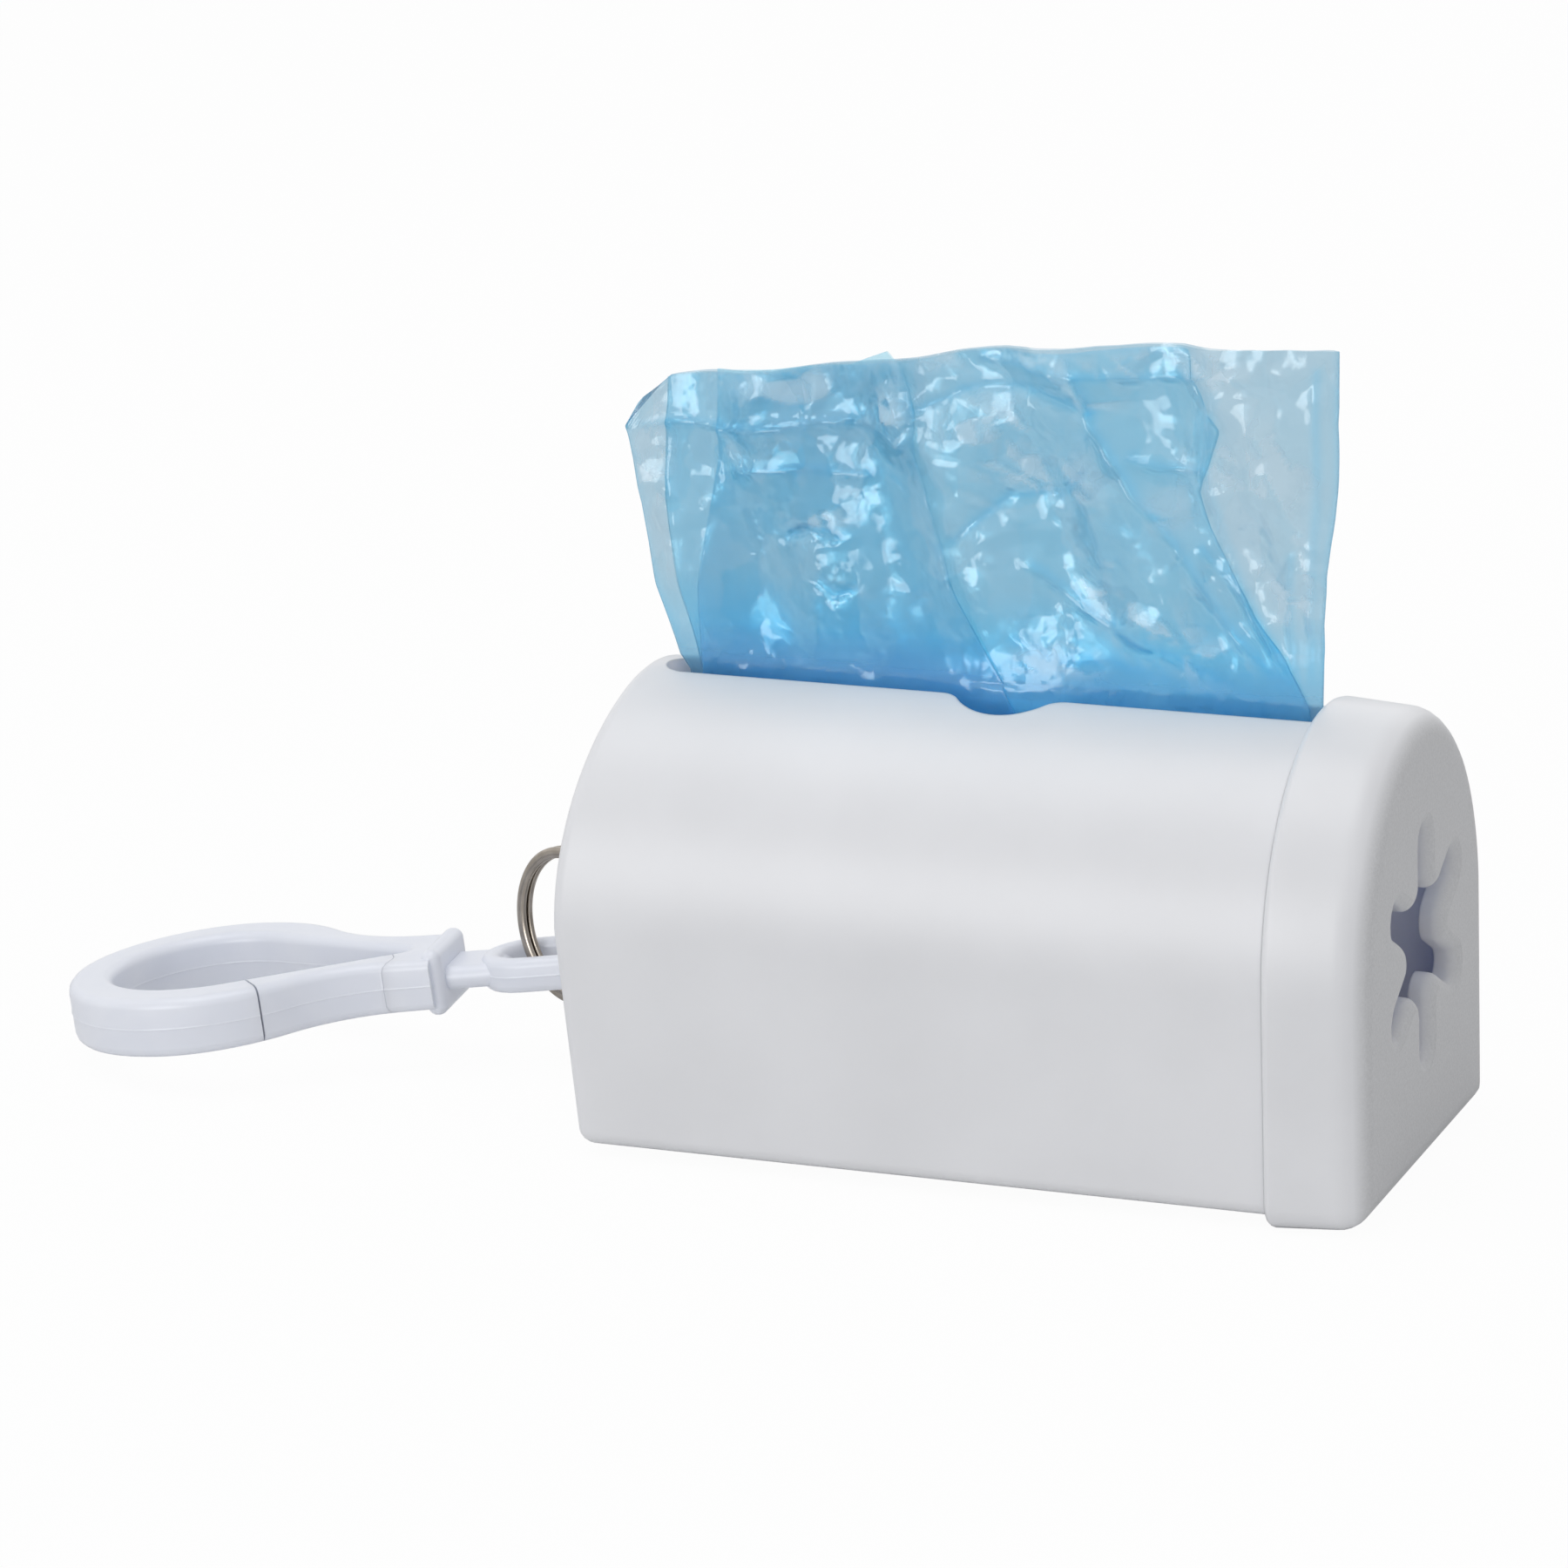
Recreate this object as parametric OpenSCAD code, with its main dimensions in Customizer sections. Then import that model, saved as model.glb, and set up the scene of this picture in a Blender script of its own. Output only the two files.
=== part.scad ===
// Clip-on dispenser for a roll of dog waste bags: an arched moulded housing with a film slot along its
// crown, a pull-off end cap with a six-lobed opening, a split ring in the lug on the closed end and a
// one-piece moulded snap hook. X runs along the roll towards the cap, Z up; the origin is the centre of
// the flat base, under the finger hole. Millimetres.

/* [Housing] */
// Length over housing and cap, without the lug
total_l = 86; // [70:1:110]
// Width of the housing
body_w = 40.3; // [36:0.1:50]
// Height of the housing
body_h = 45.8; // [42:0.1:56]
// Height of the flat sides, up to where the arch starts
side_h = 22.7; // [18:0.1:26]
// Thickness of the arched wall
wall = 1.8; // [1.2:0.1:2.4]
// Thickness of the closed end
end_wall = 1.8; // [1.2:0.1:3]
// How far the closed end is crowned
end_crown = 2.1; // [0.5:0.1:4]
// Rounding of the housing's outer edges
edge_r = 1.5; // [0.8:0.1:2.5]

/* [Slot] */
// Width of the film slot
slot_w = 4.8; // [3:0.1:7]
// Distance from the closed end to the slot
slot_inset = 5.6; // [4:0.1:12]
// Radius of the finger hole in the middle of the slot
finger_r = 5.8; // [4.5:0.1:8]
// Blend between the finger hole and the slot's edges
finger_blend = 2.5; // [1:0.1:4]

/* [Cap] */
// Length of the cap
cap_l = 10.5; // [8:0.1:16]
// How far the cap stands out from the housing
cap_over = 1.17; // [0.6:0.01:2]
// Thickness of the cap's face
cap_face = 2.6; // [1.8:0.1:3.2]
// Rounding between the cap's side and its face
cap_edge_r = 3.4; // [2:0.1:5]
// How much the cap's side draws in towards the face
cap_draft = 0.4; // [0:0.05:0.8]
// Rounding of the cap's rim
rim_r = 0.9; // [0.4:0.1:1.2]
// Depth of the recess in the housing that the cap slides over
seat_step = 0.7; // [0.4:0.05:1]
// Length of that recess
seat_l = 7.6; // [5:0.1:10]
// Clearance between the cap and its seat
seat_gap = 0.1; // [0.05:0.01:0.2]

/* [Lobed opening] */
// Number of lobes
lobe_n = 6; // [5:1:7]
// Width of each lobe
lobe_w = 3.2; // [2:0.1:4]
// Distance from the centre to a lobe's tip
lobe_reach = 12.2; // [10.5:0.1:13.5]
// Radius of the petal tips between the lobes
petal_r = 2.4; // [2:0.1:2.8]
// Rounded lip round the opening
lip_r = 1.5; // [0.5:0.1:1.7]

/* [Lug] */
// Width of the lug
lug_w = 7; // [6:0.1:9]
// Thickness of the lug
lug_t = 2.4; // [1.8:0.1:3]
// Radius of the hole in the lug
lug_hole_r = 1.9; // [1.6:0.1:2.2]
// Height of the lug's middle above the base
lug_z = 16.6; // [14:0.1:24]

/* [Split ring] */
// Mean radius of the split ring
ring_r = 7.8; // [7.5:0.1:8.1]
// Radial width of the ring's wire
wire_w = 1.2; // [0.8:0.05:1.3]
// Thickness of the ring's wire along its axis
wire_t = 0.7; // [0.5:0.05:0.8]
// Gap between the ring's two turns
turn_gap = 0.12; // [0.06:0.01:0.2]
// Angle of the ring's plane to the long axis, seen from above
ring_turn = 28; // [24:1:31]
// Lean of the ring's plane from upright
ring_tilt = 2.5; // [0:0.5:5]

/* [Snap hook] */
// Thickness of the hook's claw
hook_t = 6.4; // [4:0.1:7]
// Share of its thickness that the claw loses towards the handle
claw_taper = 0.15; // [0:0.01:0.25]
// Outer radius of the claw's round head
head_r = 15.4; // [14:0.1:17]
// Radius of the hole in the head
head_hole_r = 10.3; // [9:0.1:11]
// Distance from the eye's centre to the head's centre
head_u = 37.2; // [36:0.1:42]
// Width of the handle behind the head
handle_w = 11.8; // [10.5:0.1:13]
// Radius of the hollow curve between handle and head
waist_r = 14; // [12:0.5:16]
// Distance from the eye's centre to the stop plate
plate_u = 10.4; // [10:0.1:11]
// Thickness of the stop plate
plate_t = 2.2; // [1.6:0.1:3]
// Width of the stop plate
plate_w = 10.4; // [9.5:0.1:12]
// Height of the stop plate
plate_h = 7.1; // [6.5:0.1:9]
// Rounding of the stop plate
plate_r = 1.05; // [0.6:0.05:1.1]
// Width of the neck between plate and eye
neck_w = 7.6; // [6:0.1:8.4]
// Thickness of the neck
neck_t = 2.6; // [2:0.1:3.4]
// Length of the eye
eye_l = 14.4; // [14:0.1:16]
// Width of the eye
eye_w = 10; // [9.4:0.1:11]
// Width of the bar round the eye's hole
eye_bar = 2.1; // [1.6:0.1:2.3]
// Thickness of the eye
eye_t = 3.7; // [3:0.1:4.6]
// Gap at the gate's free end
gate_slit = 0.25; // [0.15:0.05:0.4]
// Running gap round the gate's flexing root
gate_gap = 0.05; // [0.03:0.01:0.1]
// Radius of the gate's flexing root
root_r = 2.7; // [2:0.1:3]
// Distance from the stop plate to the middle of that root
root_u = 7; // [6:0.1:9]
// Distance from the hook's middle line to that root
root_v = 4; // [3:0.1:5]
// Distance from the eye's centre to the slit at the gate's free end
slit_u = 29.6; // [25:0.1:32]
// Distance from the hook's middle line to the middle of the slit
slit_v = 10.2; // [9:0.1:12]
// Half the length of the cut that makes the slit
slit_half = 5; // [4:0.1:7]
// Direction of the slit, from the hook's long axis
slit_turn = 125; // [100:1:140]
// Rounding of the claw's edges
claw_r = 1.1; // [0.6:0.1:1.6]
// Rounding of the eye's edges
eye_r = 0.9; // [0.5:0.1:1.2]
// Height of the mould's parting ridge
ridge_h = 0.08; // [0.02:0.01:0.15]
// Width of that ridge
ridge_w = 0.36; // [0.2:0.02:0.8]
// Rounding of the narrow end of the claw's hole
hole_tip_r = 0.9; // [0.6:0.1:1.5]
// Distance from the stop plate to that narrow end
hole_start = 4.8; // [4:0.1:7]
// How far the hole's round end lies off the head's centre
hole_shift = 0.4; // [0:0.1:1]
// Downward tilt of the hook as it lies
hook_tilt = 6.7; // [4:0.1:7]
// Turn of the hook away from the long axis
hook_yaw = 9; // [5:1:12]
// Roll of the hook about its length, the gate's side up
hook_roll = 2.7; // [0:0.1:4]

/* [Roll of bags] */
// Radius of the full roll
roll_r = 16.2; // [12:0.1:17]
// Length of the roll
roll_l = 70; // [50:1:72]
// Outer radius of the card core
core_r = 7.5; // [6:0.1:9]
// Wall of the card core
core_wall = 1; // [0.6:0.1:1.5]
// Clearance between the roll and the housing's floor
roll_gap = 0.3; // [0.2:0.05:0.6]
// Clearance between the roll and the housing's closed end
roll_end_gap = 0.6; // [0.3:0.1:2]

/* [Drawn bag] */
// Thickness of the folded film as it stands in the slot
bag_t = 1; // [0.6:0.1:1.6]
// Height of the drawn bag above the housing
bag_rise = 36.3; // [20:0.5:60]
// Clearance between the film and what it passes
bag_gap = 0.3; // [0.2:0.05:0.5]
// How much thicker the loose plies stand above the slot
bag_open = 1.1; // [0.4:0.1:1.6]
// Height of the bag's main folds to either side
bag_fold_h = 1.6; // [0.5:0.1:2.2]
// Distance from one main fold to the next
bag_fold_l = 17; // [12:0.5:24]
// Distance between the cross folds
bag_cross_l = 27; // [20:0.5:40]

/* [Hidden] */
$fn = 64;

// Steps of the faceted surfaces
arch_steps = 45;
corner_steps = 4;
round_steps = 5;

// Places along the housing
end_x = -total_l / 2;
face_x = total_l / 2;
rim_x = face_x - cap_l;
shoulder_x = rim_x - seat_gap;
seat_end_x = shoulder_x + seat_l;
crown_z = 0.45 * body_h;
arch_h = body_h - side_h;
cut = 1;

// Places of the lug and the ring
lug_hole_x = end_x - lug_hole_r - 0.2;
ring_cross = [lug_hole_x + 0.76, -0.41];
ring_drop = 1.43;
ring_reach = sqrt(ring_r * ring_r - ring_drop * ring_drop);
ring_c = [ring_cross[0] - ring_reach * cos(ring_turn), ring_cross[1] + ring_reach * sin(ring_turn), lug_z - ring_drop];

// The eye's centre, seen from the ring's centre
hook_at = ring_c + [-3.3, 1.56, -5.02];

// Places of the roll and the film
roll_x = end_x + end_crown + end_wall + roll_end_gap;
roll_z = wall + roll_gap + roll_r;
bag_x0 = end_x + slot_inset + slot_w / 4 + bag_gap;
bag_x1 = rim_x - bag_gap;
bag_top = body_h + bag_rise;
tail_z = roll_z + roll_r + bag_gap;

plastic = [0.93, 0.93, 0.95];
hook_plastic = [0.85, 0.87, 0.92];
film = [0.45, 0.72, 0.88];
card = [0.72, 0.62, 0.48];
steel = [0.72, 0.70, 0.66];

// Arc of points round c, from angle a0 to a1
function arc(c, r, a0, a1, steps) =
    [for (i = [0:steps]) let (a = a0 + (a1 - a0) * i / steps) [c[0] + r * cos(a), c[1] + r * sin(a)]];

// Outline of the housing seen from the cap, drawn in by "inset" all round
function profile(inset) =
    let (
        half = body_w / 2 - inset,
        r = max(edge_r - inset, 0.35),
        c = [half - r, inset + r],
        arch = [for (i = [1:arch_steps - 1]) let (a = 180 * i / arch_steps)
            [half * cos(a), side_h + (arch_h - inset) * sin(a)]]
    )
    concat(
        arc(c, r, -90, 0, corner_steps),
        [[half, side_h]],
        arch,
        [[-half, side_h]],
        arc([-c[0], c[1]], r, 180, 270, corner_steps)
    );

// Place of the crowned end at height z
function crown_x(z) = end_x + end_crown * pow((z - crown_z) / crown_z, 2);

function flat_ring(inset, x) = [for (p = profile(inset)) [x, p[0], p[1]]];
function crown_ring(inset, dx) = [for (p = profile(inset)) [crown_x(p[1]) + dx, p[0], p[1]]];

// Rings that round an edge of radius r from the crowned end to the side
function crown_edge(inset, dx, r) =
    [for (i = [0:round_steps]) let (a = 90 * i / round_steps)
        crown_ring(inset + r * (1 - sin(a)), dx + r * (1 - cos(a)))];

// Faces between m rings of n points
function side_faces(m, n) =
    [for (k = [0:m - 2], i = [0:n - 1])
        let (j = (i + 1) % n)
        each [[k * n + i, (k + 1) * n + j, k * n + j], [k * n + i, (k + 1) * n + i, (k + 1) * n + j]]];

// Strips that close the ring of n points that starts at "at" and whose two halves mirror each other
function strip_faces(n, at) =
    [for (i = [0:n / 2 - 2])
        each [[at + i, at + n - 2 - i, at + n - 1 - i], [at + i, at + i + 1, at + n - 2 - i]]];

function turned(faces) = [for (f = faces) [f[0], f[2], f[1]]];

// Skin through rings of equal length, closed by flat ends or by strips
module loft(rings, strips = false) {
    m = len(rings);
    n = len(rings[0]);
    at = (m - 1) * n;
    first = strips ? strip_faces(n, 0) : [[for (i = [0:n - 1]) i]];
    last = strips ? turned(strip_faces(n, at)) : [[for (i = [n - 1:-1:0]) at + i]];
    polyhedron(points = [for (r = rings) each r], faces = concat(side_faces(m, n), first, last), convexity = 8);
}

// Skin through rings of equal length, closed by fans round the points "from" and "to"
module fan_loft(rings, from, to) {
    m = len(rings);
    n = len(rings[0]);
    first = [for (i = [0:n - 1]) [m * n, i, (i + 1) % n]];
    last = [for (i = [0:n - 1]) [m * n + 1, (m - 1) * n + (i + 1) % n, (m - 1) * n + i]];
    polyhedron(
        points = concat([for (r = rings) each r], [from, to]),
        faces = concat(side_faces(m, n), first, last), convexity = 8
    );
}

module housing() {
    color(plastic)
    difference() {
        union() {
            loft(concat(
                crown_edge(0, 0, edge_r),
                [flat_ring(0, shoulder_x), flat_ring(seat_step, shoulder_x),
                 flat_ring(seat_step, seat_end_x - 0.5), flat_ring(seat_step + 0.3, seat_end_x)]
            ), strips = true);
            lug();
        }
        loft(concat(
            crown_edge(wall, end_wall, edge_r),
            [flat_ring(wall, seat_end_x + cut)]
        ), strips = true);
        slot_cut();
        translate([lug_hole_x, 0, lug_z - lug_t])
            cylinder(r = lug_hole_r, h = 2 * lug_t);
    }
}

// Tab on the closed end that the split ring hangs in
module lug() {
    translate([0, 0, lug_z - lug_t / 2]) {
        translate([lug_hole_x, 0, 0])
            cylinder(d = lug_w, h = lug_t);
        translate([lug_hole_x, -lug_w / 2, 0])
            cube([end_x + end_wall / 2 - lug_hole_x, lug_w, lug_t]);
    }
}

// Film slot, open towards the cap, with the finger hole blended into its edges
module slot_cut() {
    half = slot_w / 2;
    slot_x = end_x + slot_inset + half;
    blend_y = half + finger_blend;
    blend_x = sqrt(pow(finger_r + finger_blend, 2) - pow(blend_y, 2));
    translate([0, 0, side_h])
    linear_extrude(height = arch_h + cut) {
        translate([slot_x, 0]) circle(r = half);
        translate([slot_x, -half]) square([seat_end_x + cut - slot_x, slot_w]);
        circle(r = finger_r);
        for (sx = [-1, 1], sy = [-1, 1])
            scale([sx, sy])
            difference() {
                polygon([[0, 0], [blend_x, 0], [blend_x, blend_y]]);
                translate([blend_x, blend_y]) circle(r = finger_blend);
            }
    }
}

// Outline of the lobed opening, widened by "grow"
function lobed(grow) =
    let (
        half = lobe_w / 2,
        step = 360 / lobe_n,
        away = (half + petal_r) / sin(step / 2),
        reach = lobe_reach - half
    )
    [for (k = [0:lobe_n - 1])
        let (a = 90 + k * step)
        each concat(
            arc([reach * cos(a), reach * sin(a)], half + grow, a - 90, a + 90, 8),
            arc([away * cos(a + step / 2), away * sin(a + step / 2)], petal_r - grow,
                a + 270, a + 90 + step, 6)
        )];

// The opening goes straight through the face and rolls out over a rounded lip
module lobed_cut() {
    centre_z = body_h / 2;
    lip = [for (i = [0:5]) let (a = 16 * i) [lip_r * (1 - cos(a)), lip_r * (1 - sin(a))]];
    path = concat([[0, cap_face + cut]], lip, [[lip_r, -0.4]]);
    fan_loft(
        [for (p = path) [for (q = lobed(p[0])) [face_x - p[1], q[0], centre_z + q[1]]]],
        [face_x - cap_face - cut, 0, centre_z], [face_x + 0.4, 0, centre_z]
    );
}

module end_cap() {
    rim = [for (i = [0:3]) let (a = 30 * i) [rim_r * (1 - sin(a)), rim_r * (1 - cos(a))]];
    edge = [for (i = [0:7]) let (a = 90 * i / 7) [cap_edge_r * (1 - cos(a)), cap_edge_r * (1 - sin(a))]];
    color(plastic)
    difference() {
        loft(concat(
            [for (p = rim) flat_ring(p[0] - cap_over, rim_x + p[1])],
            [for (p = edge) flat_ring(p[0] - cap_over + cap_draft, face_x - p[1])]
        ));
        loft([flat_ring(seat_step - seat_gap, rim_x - cut),
              flat_ring(seat_step - seat_gap, face_x - cap_face)]);
        lobed_cut();
    }
}

module roll_core() {
    color(card)
    translate([roll_x, 0, roll_z])
    rotate([0, 90, 0])
    difference() {
        cylinder(r = core_r, h = roll_l);
        translate([0, 0, -cut]) cylinder(r = core_r - core_wall, h = roll_l + 2 * cut);
    }
}

// Film wound on the core; the core is a sliding fit in it
module bag_roll() {
    color(film)
    translate([roll_x, 0, roll_z])
    rotate([0, 90, 0])
    difference() {
        cylinder(r = roll_r, h = roll_l);
        translate([0, 0, -cut]) cylinder(r = core_r + 0.02, h = roll_l + 2 * cut);
    }
}

// The bag's folds start above the slot, so that the film runs flat through it
function bag_loose(z) = let (t = min(max((z - body_h - 1.5) / 8, 0), 1)) t * t * (3 - 2 * t);
function bag_wave(x, z) =
    bag_fold_h * bag_loose(z) * (
        0.62 * sin(360 * (x + 0.32 * (z - body_h)) / bag_fold_l + 250)
        + 0.38 * sin(360 * (x - 0.5 * (z - body_h)) / bag_cross_l + 100));

// Sides and top of the bag: its corners stand out past the slot
function bag_left(z) =
    bag_x0 - lookup((z - body_h) / bag_rise, [[0.02, 0], [0.23, 2.5], [0.47, 4], [0.68, 5.1], [1, 4.6]]);
function bag_right(z) =
    bag_x1 + lookup((z - body_h) / bag_rise, [[0.06, 0], [0.5, 1.2], [1, 1.9]]);
function bag_edge(u) =
    bag_top - lookup(u, [[0, 11.4], [0.04, 7], [0.14, 5], [0.31, 3.9], [0.38, 1.9], [0.6, 0.6], [1, 0]]);

// The drawn bag: upright sections from its left side to its right, its tail down to the roll
module drawn_bag() {
    across = 28;
    up = 15;
    color(film)
    loft([for (i = [0:across])
        let (
            u = i / across,
            top = bag_edge(u),
            mid = [for (j = [0:up])
                let (z = tail_z + (top - tail_z) * j / up, x = bag_left(z) + (bag_right(z) - bag_left(z)) * u)
                [x, bag_wave(x, z), z, (bag_t + bag_open * bag_loose(z)) / 2]]
        )
        concat(
            [for (p = mid) [p[0], p[1] + p[3], p[2]]],
            [for (j = [up:-1:0]) let (p = mid[j]) [p[0], p[1] - p[3], p[2]]]
        )], strips = true);
}

// Centre line of the split ring's wire: two flat turns that change over within 60 degrees
function turn_side(a) = let (t = min(max((a - 330) / 60, 0), 1)) (t * t * (3 - 2 * t) - 0.5) * (wire_t + turn_gap);

module split_ring() {
    chamfer = 0.18;
    w = wire_w / 2;
    t = wire_t / 2;
    section = [[w, -t + chamfer], [w, t - chamfer], [w - chamfer, t], [-w + chamfer, t],
               [-w, t - chamfer], [-w, -t + chamfer], [-w + chamfer, -t], [w - chamfer, -t]];
    first = 38;
    last = 682;
    steps = 80;
    start_at = 200;
    rings = [for (i = [0:steps])
        let (a = first + (last - first) * i / steps, s = turn_side(a))
        [for (q = section)
            [(ring_r + q[0]) * cos(a + start_at), (ring_r + q[0]) * sin(a + start_at), s + q[1]]]];
    color(steel)
    translate(ring_c)
    rotate([90 - ring_tilt, 0, -ring_turn])
        loft(rings);
}

// Outline of the claw seen square on, drawn in by "inset"; the eye's centre is at 0, 0
function claw_outline(inset) =
    let (
        half = handle_w / 2,
        waist_y = half + waist_r,
        waist_x = head_u - sqrt(pow(head_r + waist_r, 2) - pow(waist_y, 2)),
        turn = atan2(waist_y, head_u - waist_x),
        start = plate_u + plate_t / 2
    )
    concat(
        [[start, -half + inset]],
        arc([waist_x, -waist_y], waist_r + inset, 90, turn, 8),
        arc([head_u, 0], head_r - inset, -176 + turn, 176 - turn, 41),
        arc([waist_x, waist_y], waist_r + inset, -turn, -90, 8),
        [[start, half - inset]]
    );

// Outline of the drop-shaped hole in the claw, widened by "grow"
function claw_hole(grow) =
    let (
        tip_u = plate_u + plate_t / 2 + hole_start,
        c = head_u + hole_shift,
        lean = asin((head_hole_r - hole_tip_r) / (c - tip_u))
    )
    concat(
        arc([c, 0], head_hole_r + grow, -90 - lean, 90 + lean, 32),
        arc([tip_u, 0], hole_tip_r + grow, 90 + lean, 270 - lean, 6)
    );

function stadium(half_l, half_w) =
    concat(
        arc([half_l - half_w, 0], half_w, -90, 90, 12),
        arc([half_w - half_l, 0], half_w, 90, 270, 12)
    );

// Rings through a thickness t whose edges are rounded by r, with the mould's parting ridge halfway
function rounded(t, r) =
    concat(
        [for (i = [0:3]) let (a = 30 * i) [r * (1 - sin(a)), -t / 2 + r * (1 - cos(a))]],
        [[0, -ridge_w / 2], [-ridge_h, 0], [0, ridge_w / 2]],
        [for (i = [3:-1:0]) let (a = 30 * i) [r * (1 - sin(a)), t / 2 - r * (1 - cos(a))]]
    );

function level(points, z) = [for (p = points) [p[0], p[1], z]];

// The claw thins towards the handle's root
function thinned(points, z) =
    [for (p = points) let (t = min(max((head_u - p[0]) / (head_u - plate_u), 0), 1))
        [p[0], p[1], z * (1 - claw_taper * t)]];

module claw() {
    edge = rounded(hook_t, claw_r);
    difference() {
        loft([for (e = edge) thinned(claw_outline(e[0]), e[1])], strips = true);
        loft(concat(
            [level(claw_hole(claw_r), -hook_t / 2 - cut)],
            [for (e = edge) thinned(claw_hole(e[0]), e[1])],
            [level(claw_hole(claw_r), hook_t / 2 + cut)]
        ));
    }
}

module eye() {
    edge = rounded(eye_t, eye_r);
    l = eye_l / 2;
    w = eye_w / 2;
    open_l = l - eye_bar;
    open_w = w - eye_bar;
    difference() {
        loft([for (e = edge) level(stadium(l - e[0], w - e[0]), e[1])]);
        loft(concat(
            [level(stadium(open_l + eye_r, open_w + eye_r), -eye_t / 2 - cut)],
            [for (e = edge) level(stadium(open_l + e[0], open_w + e[0]), e[1])],
            [level(stadium(open_l + eye_r, open_w + eye_r), eye_t / 2 + cut)]
        ));
    }
}

// Stop plate across the handle's root, and the neck that joins it to the eye
module plate_and_neck() {
    translate([plate_u + plate_t / 2, 0, 0])
    hull()
        for (x = [-1, 1], y = [-1, 1], z = [-1, 1])
            translate([x * (plate_t / 2 - plate_r), y * (plate_w / 2 - plate_r), z * (plate_h / 2 - plate_r)])
                sphere(r = plate_r, $fn = 20);
    neck_from = eye_l / 2 - eye_bar * 0.7;
    neck_to = plate_u + plate_t / 2;
    hull()
        for (x = [neck_from, neck_to], y = [-1, 1])
            translate([x, y * (neck_w - neck_t) / 2, 0])
                sphere(d = neck_t, $fn = 20);
}

// The gate is the near arm of the claw from the slit to its root, where it flexes
gate_root = [plate_u + plate_t / 2 + root_u, root_v];
slit_at = [slit_u, slit_v];
slit_dir = slit_half * [cos(slit_turn), sin(slit_turn)];

module gate_region(gap, slit) {
    t = hook_t + 2 * cut;
    translate([0, 0, -t / 2])
    linear_extrude(height = t)
        polygon(concat(
            arc(gate_root, root_r + gap, 100, 260, 24),
            [slit_at - slit_dir + [slit, 0], slit_at + slit_dir + [slit, 0],
             gate_root + [0.7 * root_r, 3 * root_r]]
        ));
}

module lay_hook() {
    translate(hook_at)
    rotate([0, hook_tilt, 180 + hook_yaw])
    rotate([hook_roll, 0, 0])
        children();
}

module snap_hook() {
    color(hook_plastic)
    lay_hook() {
        difference() {
            claw();
            gate_region(gate_gap, gate_slit);
        }
        plate_and_neck();
        eye();
    }
}

module hook_gate() {
    color(hook_plastic)
    lay_hook()
    intersection() {
        claw();
        gate_region(0, 0);
    }
}

housing();
end_cap();
roll_core();
bag_roll();
drawn_bag();
split_ring();
snap_hook();
hook_gate();
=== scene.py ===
# Dog waste bag dispenser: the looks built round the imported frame. Everything is in metres.
import math

import bmesh
import bpy
import numpy as np
from mathutils import Matrix, Vector, geometry


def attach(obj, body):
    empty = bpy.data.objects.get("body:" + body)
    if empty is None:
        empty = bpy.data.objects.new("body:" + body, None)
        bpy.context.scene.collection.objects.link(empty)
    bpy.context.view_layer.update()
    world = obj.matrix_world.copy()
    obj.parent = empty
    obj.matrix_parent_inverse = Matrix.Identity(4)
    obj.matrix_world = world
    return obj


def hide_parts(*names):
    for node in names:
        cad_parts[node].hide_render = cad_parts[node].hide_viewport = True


mm = 0.001
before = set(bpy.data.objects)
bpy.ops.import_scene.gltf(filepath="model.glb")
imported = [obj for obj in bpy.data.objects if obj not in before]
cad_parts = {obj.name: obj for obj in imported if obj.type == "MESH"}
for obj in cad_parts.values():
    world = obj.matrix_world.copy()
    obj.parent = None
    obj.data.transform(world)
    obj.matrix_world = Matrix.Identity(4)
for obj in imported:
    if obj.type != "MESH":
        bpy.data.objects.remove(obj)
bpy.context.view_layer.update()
print("frame loaded")


# sRGB hex to linear colour
def hexColour(text):
    parts = [int(text[i:i + 2], 16) / 255 for i in (0, 2, 4)]
    return [p / 12.92 if p <= 0.04045 else ((p + 0.055) / 1.055) ** 2.4 for p in parts] + [1.0]


def addNode(tree, kind, settings=None, **links):
    node = tree.nodes.new(kind)
    for name, value in (settings or {}).items():
        if name in node.inputs.keys():
            node.inputs[name].default_value = value
        else:
            setattr(node, name, value)
    for name, source in links.items():
        tree.links.new(source, node.inputs[name.replace("_", " ")])
    return node


def newMaterial(name):
    material = bpy.data.materials.new(name)
    material.use_nodes = True
    material.node_tree.nodes.clear()
    return material, material.node_tree


def finishMaterial(tree, shader):
    addNode(tree, "ShaderNodeOutputMaterial", {}, Surface=shader.outputs[0])


# Two colours blended by a factor between low and high
def twoTones(tree, factor, low, high, first, second):
    ramp = addNode(tree, "ShaderNodeValToRGB", {}, Fac=factor)
    ramp.color_ramp.elements[0].position = low
    ramp.color_ramp.elements[1].position = high
    ramp.color_ramp.elements[0].color = hexColour(first)
    ramp.color_ramp.elements[1].color = hexColour(second)
    return ramp.outputs["Color"]


# One step of arithmetic; either side may be a plain number
def mathOf(tree, operation, first, second, clamp=False):
    node = addNode(tree, "ShaderNodeMath", {"operation": operation, "use_clamp": clamp})
    for socket, source in zip(node.inputs, (first, second)):
        if isinstance(source, float):
            socket.default_value = source
        else:
            tree.links.new(source, socket)
    return node.outputs[0]


def product(tree, first, second):
    return mathOf(tree, "MULTIPLY", first, second)


def sumOf(tree, first, second):
    return mathOf(tree, "ADD", first, second)


# Two shaders mixed; the share is the second one's, a socket or a plain number
def mixShaders(tree, share, first, second):
    node = addNode(tree, "ShaderNodeMixShader")
    if isinstance(share, float):
        node.inputs["Fac"].default_value = share
    else:
        tree.links.new(share, node.inputs["Fac"])
    tree.links.new(first.outputs[0], node.inputs[1])
    tree.links.new(second.outputs[0], node.inputs[2])
    return node


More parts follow.
